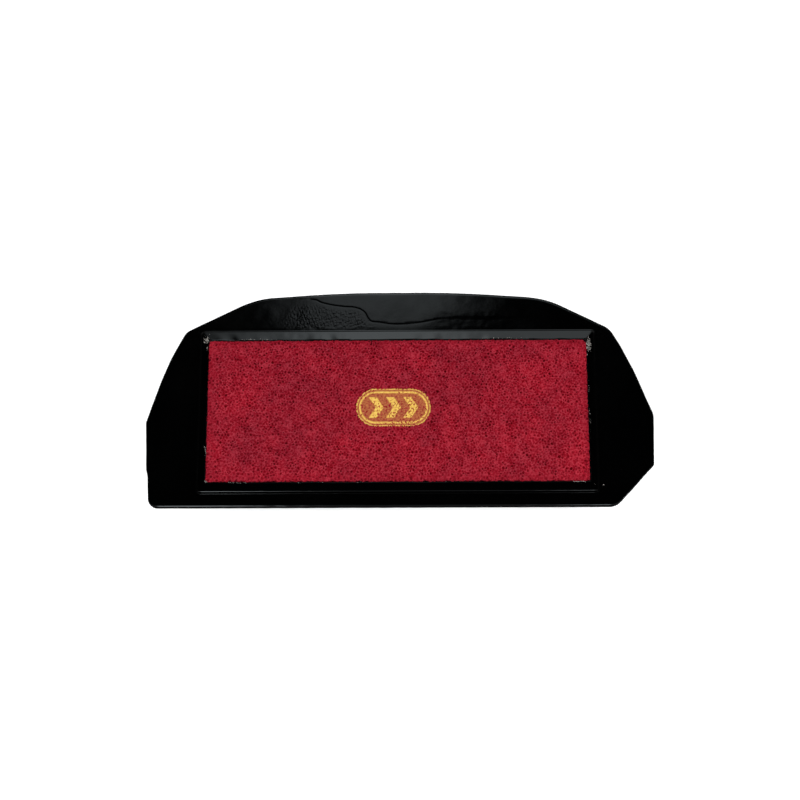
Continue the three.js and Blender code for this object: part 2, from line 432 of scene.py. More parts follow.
def settle(piece, slot, *nodes):
    """Rides the piece on the one body, in place of its CAD nodes, which it hides. slot is not used."""
    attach(piece, BODY)
    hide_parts(*nodes)
    return piece


def loop_faces(first, second, count):
    """Quads between two closed rows of count points each, given by their first indices."""
    return [
        (first + i, first + (i + 1) % count, second + (i + 1) % count, second + i)
        for i in range(count)
    ]


def row(points, heights):
    """Points of the plan at one height, or at a height each."""
    return np.column_stack([points, np.broadcast_to(heights, len(points))])


def ring_mesh(rows, closed=True):
    """A skin through rows of the same number of points. If closed, the last row joins the first."""
    count = len(rows[0])
    faces = []
    for k in range(len(rows) if closed else len(rows) - 1):
        faces += loop_faces(k * count, ((k + 1) % len(rows)) * count, count)
    if closed:
        faces = [face[::-1] for face in faces]
    return np.vstack(rows), faces


# ---- the moulding

# The seam where two streams of the moulding met: a path over the flange's upper face
FLOW_LINE_MM = [
    (-79, 64.7), (-66.1, 63), (-57.4, 62.1), (-50.5, 61.3), (-47.9, 60),
    (-44.4, 58.9), (-39.3, 57.8), (-33.2, 57), (-27.2, 56.5), (-22.9, 54.9),
    (-20.7, 52.8), (-19, 49.6), (-16.9, 47.6), (-11.7, 46.9), (-5.7, 45.9),
    (0.3, 45.7), (10.5, 46.5), (17.5, 47.7), (24.4, 49), (36.4, 49.4),
]
# Small crescents that stand proud beside the foam: their centres
CRESCENTS_MM = [
    (120.9, 20.3), (121.2, 1.7), (120.7, -12.5), (120.4, -22.3),
    (-123.9, 12.7), (-124.6, 3.4), (-123.9, -2.2),
]
# The pebbled zone: centre x and y, and how far it reaches in x and y
PEBBLE_ZONE_MM = (-41, 49, 32, 12)
PEBBLE_SPACING = 0.42 * MM
# Where the face sags towards the rim: from x, to x, and below which y
SAG_MM = (12, 66, 53.6)
SAG_FADE = 16 * MM
SAG_SLOPE = 0.0065
TOP_SPACING = 1.25 * MM
LAND_SPACING = 4 * MM


def distance_to_path(x, y, path):
    """Distance from each point to a path, and 1 where the point is on its left or -1 on its right."""
    best = np.full(np.shape(x), np.inf)
    side = np.zeros(np.shape(x))
    for (ax, ay), (bx, by) in zip(path[:-1], path[1:]):
        ux, uy = bx - ax, by - ay
        t = np.clip(((x - ax) * ux + (y - ay) * uy) / (ux * ux + uy * uy), 0, 1)
        away = np.hypot(x - ax - t * ux, y - ay - t * uy)
        left = np.sign(ux * (y - ay) - uy * (x - ax))
        side = np.where(away < best, left, side)
        best = np.minimum(best, away)
    return best, side


def smooth_path(points_mm, steps=8):
    """A smooth curve through the points, in metres."""
    points = [Vector((x, y, 0)) * MM for x, y in points_mm]
    ends = [points[0] * 2 - points[1], *points, points[-1] * 2 - points[-2]]
    result = []
    for a, b, c, d in zip(ends, ends[1:], ends[2:], ends[3:]):
        for k in range(steps):
            t = k / steps
            point = 2 * b + (c - a) * t + (2 * a - 5 * b + 4 * c - d) * t**2 + (3 * b - a - 3 * c + d) * t**3
            result.append(0.5 * point)
    return [(p.x, p.y) for p in [*result, points[-1]]]


FLOW_LINE = smooth_path(FLOW_LINE_MM)


def pebble_share(x, y):
    cx, cy, rx, ry = (value * MM for value in PEBBLE_ZONE_MM)
    return 1 - smooth_step(np.hypot((x - cx) / rx, (y - cy) / ry), 0.55, 1.15)


def top_relief(x, y):
    """How far the flange's upper face is from flat: sinks, the flow line, a sag, pebbles and crescents."""
    relief = swells(x, y, (0.010, 34, 3), (0.002, 9, 4))
    away, side = distance_to_path(x, y, FLOW_LINE)
    relief += np.where(side > 0, 1, 0) * 0.02 * MM * smooth_step(away, 0.1 * MM, 1.1 * MM)
    ends_fade = smooth_step(-x, -34 * MM, -6 * MM) * smooth_step(x, -80 * MM, -66 * MM)
    relief -= 0.018 * MM * ends_fade * np.exp(-((away / (0.34 * MM)) ** 2))
    from_rim = y - WINDOW[1] - RIM_MM[1] / 2 * MM - RIM_SLOPE
    relief -= 0.012 * MM * np.exp(-((from_rim / (1.2 * MM)) ** 2)) * (from_rim > 0)
    sag_start, sag_end, sag_y = (value * MM for value in SAG_MM)
    sag = smooth_step(x, sag_start, sag_start + SAG_FADE) * smooth_step(-x, -sag_end - 20 * MM, -sag_end)
    ragged_y = y - sag_y - 0.5 * MM * ripple(x, y, 5 * MM, 9)
    relief += SAG_SLOPE * sag * np.minimum(ragged_y, 0) * (y > 0)
    below = np.where(side > 0, 0, smooth_step(away, 0.8 * MM, 3 * MM))
    grains = ripple(x, y, 1.45 * MM, 5) + 0.7 * ripple(x, y, 2.6 * MM, 8)
    relief += 0.0042 * MM * np.maximum(pebble_share(x, y) * below, 0.35 * sag) * grains
    for cx, cy in CRESCENTS_MM:
        dx, dy = x - cx * MM, y - cy * MM
        arc = np.exp(-(((np.hypot(dx, dy - 1.4 * MM) - 2.1 * MM) / (0.35 * MM)) ** 2))
        relief += 0.07 * MM * arc * (dy < 0.6 * MM) * (np.abs(dx) < 1.7 * MM)
    return relief


def inside(points, polygon):
    """Which points lie inside a polygon, by counting the sides that a ray from each one crosses."""
    result = np.zeros(len(points), bool)
    x, y = points.T
    for (ax, ay), (bx, by) in zip(polygon, np.roll(polygon, -1, 0)):
        crosses = (ay > y) != (by > y)
        if ay != by:
            result ^= crosses & (x < (bx - ax) * (y - ay) / (by - ay) + ax)
    return result


FLAT = 0.0003 * MM
CLEAR_OF_LOOPS = 0.75 * OUTLINE_STEP


def height_over(base_a, base_b, point):
    """How far each point is from the line through base_a and base_b."""
    along, reach = base_b - base_a, point - base_a
    cross = along[..., 0] * reach[..., 1] - along[..., 1] * reach[..., 0]
    return np.abs(cross) / np.hypot(along[..., 0], along[..., 1])


def split_long_sides(triangles, points, outer_count, inner_count):
    """Splits each triangle side that skips loop points on a straight stretch, so that it meets them all."""
    result, waiting = [], [tuple(int(i) for i in triangle) for triangle in triangles]
    while waiting:
        triangle = waiting.pop()
        for k in range(3):
            a, b, c = triangle[k], triangle[(k + 1) % 3], triangle[(k + 2) % 3]
            on_outer = a < outer_count
            start, count, way = (0, outer_count, 1) if on_outer else (outer_count, inner_count, -1)
            if not (start <= a < start + count and start <= b < start + count):
                continue
            skipped = (way * (b - a)) % count
            chain = [start + (a - start + way * step) % count for step in range(skipped + 1)]
            short_way = 1 < skipped < count // 2
            if short_way and height_over(points[a], points[b], points[chain[1:-1]]).max() < FLAT:
                waiting += [(near, far, c) for near, far in zip(chain, chain[1:])]
                break
        else:
            result.append(triangle)
    return result


def triangular_grid(low, high, spacing):
    pitch = spacing * math.sqrt(3) / 2
    rows = []
    for r in range(int((high[1] - low[1]) / pitch) + 1):
        xs = np.arange(low[0] + spacing * (0.5 if r % 2 else 0.0), high[0], spacing)
        rows.append(np.column_stack([xs, np.full(len(xs), low[1] + r * spacing * math.sqrt(3) / 2)]))
    return rows


def fill_ring(outer, inner, spacing, extra=()):
    """Triangles over the ring between two loops. Returns the points, loops first, and the triangles."""
    grid = np.vstack([*triangular_grid(outer.min(0), outer.max(0), spacing), *extra])
    loops = np.vstack([outer, inner])
    grid = grid[inside(grid, outer) & ~inside(grid, inner)]
    clear = np.full(len(grid), np.inf)
    for point in loops:
        clear = np.minimum(clear, np.hypot(*(grid - point).T))
    points = np.vstack([loops, grid[clear > CLEAR_OF_LOOPS]])
    n, m = len(outer), len(inner)
    edges = [(i, (i + 1) % n) for i in range(n)] + [(n + i, n + (i + 1) % m) for i in range(m)]
    triangles = np.array(geometry.delaunay_2d_cdt([Vector(p) for p in points], edges, [], 0, 1e-7)[2])
    corner = points[triangles]
    centres = corner.mean(1)
    heights = [height_over(corner[:, k], corner[:, (k + 1) % 3], corner[:, (k + 2) % 3]) for k in range(3)]
    keep = inside(centres, outer) & ~inside(centres, inner) & (np.min(heights, 0) > FLAT)
    return points, np.array(split_long_sides(triangles[keep], points, n, m))


# Sections of the moulding, as inset from an outline and height, both in millimetres.
# The flange's edge, from its upper face over the parting line to the underside and the seal's groove
EDGE_MM = [
    (1.9, 24.0), (1.3, 24.0), (0.85, 23.97), (0.5, 23.89), (0.24, 23.7), (0.07, 23.4), (0.0, 23.0),
    (0.0, 22.0), (-0.03, 21.75), (-0.14, 21.62), (-0.14, 21.5), (-0.03, 21.38), (0.0, 21.1), (0.0, 20.2),
    (0.06, 19.7), (0.22, 19.35), (0.5, 19.12), (0.9, 19.02), (1.4, 19.0), (2.0, 19.0), (2.1, 19.1),
    (2.1, 20.9), (2.2, 21.0), (5.8, 21.0), (5.9, 20.9), (5.9, 19.05), (5.97, 19.0),
]
EDGE_BLEND_MM = 1.9
# The raised rim's outside, from its foot on the flange to its top
RIM_STEP_MM = [
    (-1.9, 24.0), (-1.35, 24.0), (-0.95, 24.0), (-0.86, 24.03), (-0.79, 24.15), (-0.6, 24.65),
    (-0.4, 25.15), (-0.206, 25.625), (-0.11, 25.786), (-0.003, 25.885), (0.106, 25.948),
    (0.225, 25.987), (0.35, 26.0),
]
# The rim's top, as a share of the way from the step to the lip and a rise in millimetres
RIM_TOP_RISE = [
    (0.12, 0.05), (0.3, 0.13), (0.5, 0.22), (0.68, 0.30), (0.82, 0.38), (0.92, 0.44), (0.98, 0.47),
]
WELL_LEVELS_MM = (22, 17, 12, 7, 2.2)
# The collar's outside, from its lower edge up to the flange
COLLAR_SIDE_MM = [
    (0.9, 0.0), (0.5, 0.08), (0.2, 0.3), (0.04, 0.7), (0.0, 1.2), (0.0, 4), (0.0, 7), (0.0, 10),
    (0.0, 13), (0.0, 16), (0.0, 18.2), (0.0, 18.8), (-0.03, 18.95), (-0.1, 19.0),
]


def between(first, second, share):
    return first + (second - first) * share


def flange_edge_rows():
    rows = []
    for inset_mm, z_mm in EDGE_MM:
        points = FLANGE.at(inset_mm * MM)
        x, y = points.T
        wander = swells(x, y, (0.03, 14, 11), (0.006, 3, 12))
        on_parting_line = 21 < z_mm < 22
        outward = wander * (2.2 if on_parting_line else 1.0) * (inset_mm < 1.3)
        on_top = min(1, inset_mm / EDGE_BLEND_MM) * (z_mm > 22.9)
        heights = z_mm * MM + top_relief(x, y) * on_top
        rows.append(row(points + unit(points) * outward[:, None], heights))
    return rows


def rim_rows():
    """The rim, from its step's foot over its top to the lip that overhangs the foam."""
    lip = LIP.at()
    rows = []
    for inset_mm, z_mm in RIM_STEP_MM:
        points = RIM.at(inset_mm * MM)
        x, y = points.T
        on_step = (RIM_TOP / MM - z_mm) / 2
        waves = (1 - on_step) * 0.004 * MM * ripple(x, y, 9 * MM, 21)
        rows.append(row(points, z_mm * MM + on_step * top_relief(x, y) + waves))
    start = RIM.at(RIM_STEP_MM[-1][0] * MM)
    uneven = 0.5 + 0.5 * np.clip(ripple(*lip.T, 14 * MM, 22), -1, 1)
    for share, rise_mm in RIM_TOP_RISE:
        points = between(start, lip, (share * (1 - 0.06 * uneven))[:, None])
        mottle = 0.004 * MM * ripple(*points.T, 5 * MM, 23) * min(1, 2 * share)
        rows.append(row(points, RIM_TOP + rise_mm * MM * (0.93 + 0.14 * uneven) + mottle))
    return rows


def well_rows(lip):
    """From the lip down the well's wall, over the ledge under the foam and out to the collar's foot."""
    wall, opening, foot = WALL.at(), LEDGE_OPENING.at(), COLLAR.at(COLLAR_SIDE_MM[0][0] * MM)
    rows = [row(between(lip, wall, 0.12), RIM_TOP + 0.22 * MM)]
    rows.append(row(between(lip, wall, 0.2), RIM_TOP - 0.12 * MM))
    rows.append(row(wall, BEAD_TOP + 0.08 * MM))
    rows += [row(wall, z_mm * MM) for z_mm in WELL_LEVELS_MM]
    rows += [row(between(wall, opening, share), LEDGE_TOP) for share in (0.03, 0.95)]
    rows.append(row(opening, LEDGE_TOP - 0.3 * MM))
    rows.append(row(opening, 0.35 * MM))
    rows.append(row(between(opening, foot, 0.05), 0.05 * MM))
    rows += [row(between(opening, foot, share), 0.0) for share in (0.1, 0.37, 0.64, 0.9)]
    return rows


def collar_rows():
    rows = []
    for inset_mm, z_mm in COLLAR_SIDE_MM:
        points = COLLAR.at(inset_mm * MM)
        x, y = points.T
        on_side = 1 < z_mm < 17
        sink = 0.06 * MM * ripple(x + z_mm * MM, y - z_mm * MM, 24 * MM, 25) * on_side
        rows.append(row(points + unit(points - WINDOW) * sink[:, None], z_mm * MM))
    return rows


def top_detail_points():
    """Extra points of the flange's upper face, where it is pebbled and beside the flow line."""
    pitch = PEBBLE_SPACING / MM
    pebbles = np.mgrid[-84:-14:pitch, 41:63:pitch].reshape(2, -1).T * MM
    pebbles = pebbles + np.random.default_rng(6).uniform(-0.35, 0.35, pebbles.shape) * PEBBLE_SPACING
    line = np.array(FLOW_LINE)
    beside = [line + offset * MM * np.array([0.12, 1.0]) for offset in (-0.9, -0.45, 0, 0.45, 0.9)]
    return [pebbles, *beside]


def flange_moulding():
    """The moulding's skin: rows around the flange's edge and the window, and two flat rings between them."""
    flange_count, window_count = len(FLANGE.at()), len(COLLAR.at())
    outer_rows = flange_edge_rows()
    inner_rows = rim_rows()
    inner_rows += well_rows(inner_rows[-1][:, :2]) + collar_rows()
    vertices = np.vstack(outer_rows + inner_rows)
    base = len(outer_rows) * flange_count
    faces = []
    for k in range(len(outer_rows) - 1):
        faces += [face[::-1] for face in loop_faces(k * flange_count, (k + 1) * flange_count, flange_count)]
    for k in range(len(inner_rows) - 1):
        faces += loop_faces(base + k * window_count, base + (k + 1) * window_count, window_count)

    def close(which, spacing, extra, upward, heights):
        """Adds the ring between the first or last rows of both sets, facing up or down."""
        nonlocal vertices
        points, triangles = fill_ring(outer_rows[which][:, :2], inner_rows[which][:, :2], spacing, extra)
        added = points[flange_count + window_count :]
        index = np.r_[
            (which % len(outer_rows)) * flange_count + np.arange(flange_count),
            base + (which % len(inner_rows)) * window_count + np.arange(window_count),
            len(vertices) + np.arange(len(added)),
        ]
        faces.extend(tuple(face if upward else face[::-1]) for face in index[triangles])
        vertices = np.vstack([vertices, row(added, heights(*added.T))])

    close(0, TOP_SPACING, top_detail_points(), True, lambda x, y: FLANGE_TOP + top_relief(x, y))
    close(-1, LAND_SPACING, (), False, lambda x, y: FLANGE_BOTTOM)
    piece = make_piece("frame_moulding", vertices, faces, moulding_material())
    return settle(piece, "frame_moulding", "flange_frame")


# ---- the foam


def jittered_seeds(low, high, pitch, jitter, draw):
    rows = []
    for r, y in enumerate(np.arange(low[1] - 2 * pitch, high[1] + 2 * pitch, pitch * math.sqrt(3) / 2)):
        xs = np.arange(low[0] - 2 * pitch + (pitch / 2 if r % 2 else 0), high[0] + 2 * pitch, pitch)
        rows.append(np.column_stack([xs, np.full(len(xs), y)]))
    seeds = np.vstack(rows)
    return seeds + draw.uniform(-jitter, jitter, seeds.shape) * pitch


def cell_network(low, high, pitch, jitter, seed):
    """Cells that tile the rectangle. Returns their corner points and, per cell, its corners' indices."""
    draw = np.random.default_rng(seed)
    seeds = jittered_seeds(low, high, pitch, jitter, draw)
    triangles = np.array(geometry.delaunay_2d_cdt([Vector(p) for p in seeds], [], [], 0, 1e-9)[2])
    corners = seeds[triangles].mean(1)
    owner = triangles.ravel()
    corner = np.repeat(np.arange(len(triangles)), 3)
    offset = corners[corner] - seeds[owner]
    order = np.lexsort((np.arctan2(offset[:, 1], offset[:, 0]), owner))
    owner, corner = owner[order], corner[order]
    starts = np.searchsorted(owner, np.arange(len(seeds) + 1))
    margin = 0.3 * pitch
    kept = np.all((seeds > low + margin) & (seeds < high - margin), 1)
    cells = [corner[starts[i] : starts[i + 1]] for i in np.flatnonzero(kept)]
    used, flat = np.unique(np.concatenate(cells), return_inverse=True)
    cuts = np.cumsum([len(cell) for cell in cells])[:-1]
    return corners[used], np.split(flat, cuts)


def border_loop(cells):
    """The corners around the network's outside, in counter-clockwise order."""
    edges = {(a, b) for cell in cells for a, b in zip(cell, np.roll(cell, -1))}
    onward = {a: b for a, b in edges if (b, a) not in edges}
    loop = [next(iter(sorted(onward)))]
    while onward[loop[-1]] != loop[0]:
        loop.append(onward[loop[-1]])
    return loop


def snap_to_rectangle(points, low, high, radius):
    """Moves points to the nearest place on a rounded rectangle's outline."""
    inner_low, inner_high = low + radius, high - radius
    core = np.clip(points, inner_low, inner_high)
    away = points - core
    result = points.copy()
    for i, (point, centre, out) in enumerate(zip(points, core, away)):
        if np.all(out != 0):
            result[i] = centre + out / np.hypot(*out) * radius
            continue
        gaps = np.array([point[0] - low[0], high[0] - point[0], point[1] - low[1], high[1] - point[1]])
        side = int(np.argmin(gaps))
        result[i][side // 2] = (low, high)[side % 2][side // 2]
    return result


def distance_to_sides(x, y, low, high):
    return np.minimum.reduce([x - low[0], high[0] - x, y - low[1], high[1] - y])


def joined(previous, current, outward=False):
    """Quads between two closed rows of vertex indices."""
    sides = zip(previous, np.roll(previous, -1), current, np.roll(current, -1))
    if outward:
        return [(b, a, c, d) for a, b, c, d in sides]
    return [(a, b, d, c) for a, b, c, d in sides]


BLOCK_CORNER = 0.6 * MM
SHOULDER_WIDTH = 1.8 * MM
SKIRT_LEVELS_MM = (0.35, 0.75, 1.4, 2.6)
# Shares of the full depth that cells are cut to, and how many cells have each
CELL_DEPTHS = (0.25, 0.5, 0.8, 1.2)
CELL_DEPTH_ODDS = (0.34, 0.34, 0.25, 0.07)


def cellular_block(low, high, top, bottom, pitch, seed, rings, depth_mm, shoulder, facing=1):
    """A block whose upper face is open cells between rounded struts. facing -1 turns it upside down.

    rings lists (share of the cell's radius, share of its depth, pore value). Returns the vertices, the faces
    and the pore and edge attributes."""
    draw = np.random.default_rng(seed + 100)
    corners, cells = cell_network(low, high, pitch, 0.46, seed)
    loop = border_loop(cells)
    corners[loop] = snap_to_rectangle(corners[loop], low, high, BLOCK_CORNER)
    corners[loop] += draw.uniform(-0.38, 0.38, (len(loop), 2)) * MM
    x, y = corners.T
    over_shoulder = np.clip(distance_to_sides(x, y, low, high) / SHOULDER_WIDTH, 0, 1)
    drop = shoulder * (1 - np.sqrt(np.clip(1 - (1 - over_shoulder) ** 2, 0, 1)))
    crest = -drop + draw.uniform(-0.13, 0.13, len(corners)) * MM + swells(x, y, (0.12, 30, seed + 7))
    vertices = [np.column_stack([x, y, np.minimum(crest, 0)])]
    pore = [draw.uniform(0, 0.16, len(corners))]
    faces = []
    total = len(corners)
    wave = ripple(*corners.T, 12 * MM, seed + 9)
    for cell in cells:
        count = len(cell)
        rim = vertices[0][cell]
        centre = rim.mean(0)
        spokes = rim[:, :2] - centre[:2]
        lengths = np.hypot(*spokes.T)
        round_spokes = spokes * (0.45 + 0.55 * lengths.mean() / lengths)[:, None]
        openness = draw.uniform(0.7, 1.15)
        depth = depth_mm * MM * draw.choice(CELL_DEPTHS, p=CELL_DEPTH_ODDS)
        # Painted shade: deeper cells get larger pore values and so a darker colour, with a little random tone
        # from wave.
        dark = 0.22 + 0.62 * depth / (depth_mm * MM * 1.5) + 0.10 * wave[cell[0]]
        tilt = draw.uniform(-0.12, 0.12, 2)
        previous = cell
        for share, deep, value in rings:
            points = centre[:2] + round_spokes * share * openness + tilt * lengths.mean() * deep
            heights = centre[2] + (rim[:, 2] - centre[2]) * share - depth * deep
            heights = heights + draw.uniform(-0.05, 0.05, count) * MM
            vertices.append(np.column_stack([points, heights]))
            pore.append(np.clip(value * dark + draw.uniform(-0.05, 0.05, count), 0, 1))
            current = np.arange(total, total + count)
            total += count
            faces += joined(previous, current)
            previous = current
        faces.append(tuple(previous))

    # The block's sides, rough near the cells, and its flat underside
    skirt = vertices[0][loop]
    previous = np.array(loop)
    for level in SKIRT_LEVELS_MM:
        wobble = 0.10 * MM * draw.uniform(-1, 1, (len(loop), 2))
        heights = skirt[:, 2] - level * MM + draw.uniform(-0.1, 0.1, len(loop)) * MM
        vertices.append(np.column_stack([skirt[:, :2] + wobble, heights]))
        pore.append(draw.uniform(0.05, 0.5, len(loop)))
        current = np.arange(total, total + len(loop))
        total += len(loop)
        faces += joined(previous, current, outward=True)
        previous = current
    vertices.append(row(skirt[:, :2], bottom - top))
    pore.append(np.full(len(loop), 0.3))
    current = np.arange(total, total + len(loop))
    faces += joined(previous, current, outward=True)
    faces.append(tuple(current[::-1]))

    vertices = np.vstack(vertices)
    x, y = vertices[:, 0], vertices[:, 1]
    to_edge = distance_to_sides(x, y, low, high)
    edge = 1 - smooth_step(to_edge + 0.8 * MM * ripple(x, y, 11 * MM, seed + 5), 2.2 * MM, 4.6 * MM)
    if facing < 0:
        vertices[:, 2] *= -1
        faces = [face[::-1] for face in faces]
        vertices[:, 2] += bottom
    else:
        vertices[:, 2] += top
    return vertices, faces, np.concatenate(pore), edge


COARSE_PITCH = 1.85 * MM
FINE_PITCH = 1.7 * MM


def coarse_foam():
    low, high = (WINDOW + side * FOAM_SIZE[:2] / 2 for side in (-1, 1))
    # The last value of each ring sets its painted shade: higher is darker.
    rings = [(0.72, 0.16, 0.25), (0.42, 1.0, 1.0)]
    vertices, faces, pore, edge = cellular_block(
        low, high, FOAM_TOP, FOAM_JOINT, COARSE_PITCH, 41, rings, depth_mm=0.9, shoulder=0.9 * MM
    )
    # Lit and shaded copies of the red: the first colour is a painted highlight, the third and fourth are
    # painted shade in the cells.
    material = foam_material(
        "coarse_red_foam",
        painted_glint=(0.262, 0.0190, 0.0320),
        crest=(0.190, 0.0052, 0.0138),
        shaded_flank=(0.140, 0.0012, 0.0058),
        shaded_hollow=(0.072, 0.0001, 0.0012),
        edge=(0.205, 0.0060, 0.0145),
        web_scale=640,
    )
    piece = make_piece("coarse_foam", vertices, faces, material, pore=pore, edge=edge * 0.4)
    settle(piece, "coarse_foam", "coarse_foam_pad")
    return piece


def fine_foam():
    low, high = (WINDOW + side * FINE_SIZE[:2] / 2 for side in (-1, 1))
    # The last value of the ring sets its painted shade: higher is darker.
    rings = [(0.5, 1.0, 1.0)]
    vertices, faces, pore, edge = cellular_block(
        low, high, FINE_TOP, FINE_LOW, FINE_PITCH, 61, rings, depth_mm=0.5, shoulder=0.3 * MM, facing=-1
    )
    # Lit and shaded copies of the green: the first colour is a painted highlight, the third and fourth are
    # painted shade in the cells.
    material = foam_material(
        "fine_green_foam",
        painted_glint=(0.10, 0.28, 0.14),
        crest=(0.075, 0.22, 0.11),
        shaded_flank=(0.04, 0.13, 0.06),
        shaded_hollow=(0.008, 0.03, 0.013),
        edge=(0.05, 0.15, 0.07),
        web_scale=1100,
    )
    piece = make_piece("fine_foam", vertices, faces, material, pore=pore, edge=edge * 0.2)
    settle(piece, "fine_foam", "fine_foam_pad")
    return piece


# ---- the print, a generic oval with chevrons

MARK_STEP = 0.32 * MM
INK_THICKNESS = 0.12 * MM
MARK_LINE = 1.15 * MM
MARK_BORDER_INSET = 2.7 * MM
MARK_HAIRLINE_INSET = 0.8 * MM
CHEVRONS = 3
CHEVRON_STEP = 10.2 * MM
CHEVRON_REACH = 4.2 * MM
CHEVRON_RISE = 6.4 * MM
CHEVRON_WIDTH = 4.9 * MM


def oval_distance(x, y, length, width):
    """Signed distance to an oval with straight long sides, negative inside."""
    half = max(length - width, 0) / 2
    return np.hypot(np.maximum(np.abs(x) - half, 0), y) - width / 2


def mark_lines(x, y):
    """1 on the bright lines of the print: its border, a fainter line around that, and its chevrons."""
    outside = oval_distance(x, y, MARK_SIZE[0], MARK_SIZE[1])
    border = smooth_step(-np.abs(outside + MARK_BORDER_INSET), -MARK_LINE * 0.6, -MARK_LINE * 0.3)
    hairline = smooth_step(-np.abs(outside + MARK_HAIRLINE_INSET), -0.5 * MM, -0.3 * MM) * 0.8
    chevrons = np.zeros(np.shape(x))
    for k in range(CHEVRONS):
        centre = (k - (CHEVRONS - 1) / 2) * CHEVRON_STEP + CHEVRON_REACH / 2
        slant = x - centre + CHEVRON_REACH * np.abs(y) / CHEVRON_RISE
        on = smooth_step(-np.abs(slant), -CHEVRON_WIDTH / 2, -CHEVRON_WIDTH / 2 + 0.3 * MM)
        chevrons = np.maximum(chevrons, on * (np.abs(y) < CHEVRON_RISE))
    return np.maximum(np.maximum(border, hairline), chevrons)


def print_on_foam():
    """A thin skin of ink that follows the foam's struts, dimpled over its cells, with a ragged edge."""
    half_x, half_y = MARK_SIZE[0] / 2, MARK_SIZE[1] / 2
    columns, rows = (int(2 * half / MARK_STEP) + 1 for half in (half_x, half_y))
    x, y = np.meshgrid(np.linspace(-half_x, half_x, columns), np.linspace(-half_y, half_y, rows))
    ragged = swells(x, y, (0.28, 1.5, 81))
    keep = oval_distance(x, y, MARK_SIZE[0], MARK_SIZE[1]) + ragged < -0.3 * MM
    dimple = ripple(x, y, 1.9 * MM, 82)
    height = MARK_LOW - 0.1 * MM - 0.13 * MM * smooth_step(dimple, 0.2, 1.5)
    height += swells(x, y, (0.05, 0.8, 83))
    index = np.full(keep.shape, -1)
    quads = []
    solid = keep[:-1, :-1] & keep[1:, :-1] & keep[:-1, 1:] & keep[1:, 1:]
    used = np.zeros(keep.shape, bool)
    for dr, dc in ((0, 0), (1, 0), (0, 1), (1, 1)):
        used[dr : dr + rows - 1, dc : dc + columns - 1] |= solid
    index[used] = np.arange(used.sum())
    for r, c in zip(*np.nonzero(solid)):
        quads.append((index[r, c], index[r, c + 1], index[r + 1, c + 1], index[r + 1, c]))
    top = np.column_stack([x[used] + MARK_CENTRE[0], y[used] + MARK_CENTRE[1], height[used]])
    under = top - (0, 0, INK_THICKNESS)
    count = len(top)
    edges = {(a, b) for quad in quads for a, b in zip(quad, quad[1:] + quad[:1])}
    faces = quads + [tuple(count + i for i in quad[::-1]) for quad in quads]
    faces += [(b, a, count + a, count + b) for a, b in sorted(edges) if (b, a) not in edges]
    line = np.tile(mark_lines(x, y)[used], 2)
    piece = make_piece("foam_print", np.vstack([top, under]), faces, ink_material(), line=line)
    return settle(piece, "print_ink", "printed_mark")


# ---- the seal, the adhesive and the screen


# The seal's section, as inset from the flange's outline and height
SEAL_MM = [
    (2.3, 18.2), (2.34, 17.85), (2.6, 17.63), (3.1, 17.6), (4.0, 17.58), (4.9, 17.6), (5.4, 17.63),
    (5.66, 17.85), (5.7, 18.2), (5.7, 20.6), (5.5, 20.8), (2.5, 20.8), (2.3, 20.6),
]
SEAL_JOINT_X = -60 * MM


def perimeter_seal():
    """A square-cut sponge strip with eased edges, a little uneven, butted on itself at one place."""
    rows = []
    for inset_mm, z_mm in SEAL_MM:
        points = FLANGE.at(inset_mm * MM)
        x, y = points.T
        soft = swells(x, y, (0.07, 6, 31), (0.04, 2, 32))
        joint = 0.35 * MM * np.exp(-(((x - SEAL_JOINT_X) / (0.6 * MM)) ** 2)) * (y > 0)
        heights = z_mm * MM + (soft * 0.5 + joint if z_mm < 18 else 0)
        rows.append(row(points, heights))
    vertices, faces = ring_mesh(rows)
    piece = make_piece("seal_strip", vertices, faces, sponge_material())
    return settle(piece, "seal_sponge", "perimeter_seal")


def glue_ring(low, high, seed):
    """An uneven bead between the foam's side and the collar's wall, as rows around its section."""
    outer = WALL.at(0.15 * MM)
    inner = WALL.at(0.95 * MM)
    slump = 0.5 + 0.5 * np.clip(ripple(*outer.T, 8 * MM, seed), -1, 1)
    crown = high - 0.7 * MM * slump
    return [
        row(outer, crown - 0.25 * MM),
        row(outer, low),
        row(inner, low),
        row(inner, crown - 0.3 * MM),
        row((outer + inner) / 2, crown),
    ]


def flake(centre, size, draw):
    """A little crumpled flake, for dried glue and for painted highlight specks: an irregular lens with a
    ridge.
    """
    sides = draw.integers(5, 9)
    turn = draw.uniform(0, 2 * math.pi)
    angles = turn + np.arange(sides) * 2 * math.pi / sides
    radii = size * draw.uniform(0.45, 1.1, sides)
    stretch = draw.uniform(0.45, 1.0)
    heights = draw.uniform(-0.1, 0.25, sides) * size
    around = np.column_stack([np.cos(angles) * radii, np.sin(angles) * radii * stretch, heights])
    points = np.vstack([around, [[0, 0, 0.42 * size]], [[0, 0, -0.3 * size]]]) + centre
    faces = [(i, (i + 1) % sides, sides) for i in range(sides)]
    faces += [((i + 1) % sides, i, sides + 1) for i in range(sides)]
    return points, faces


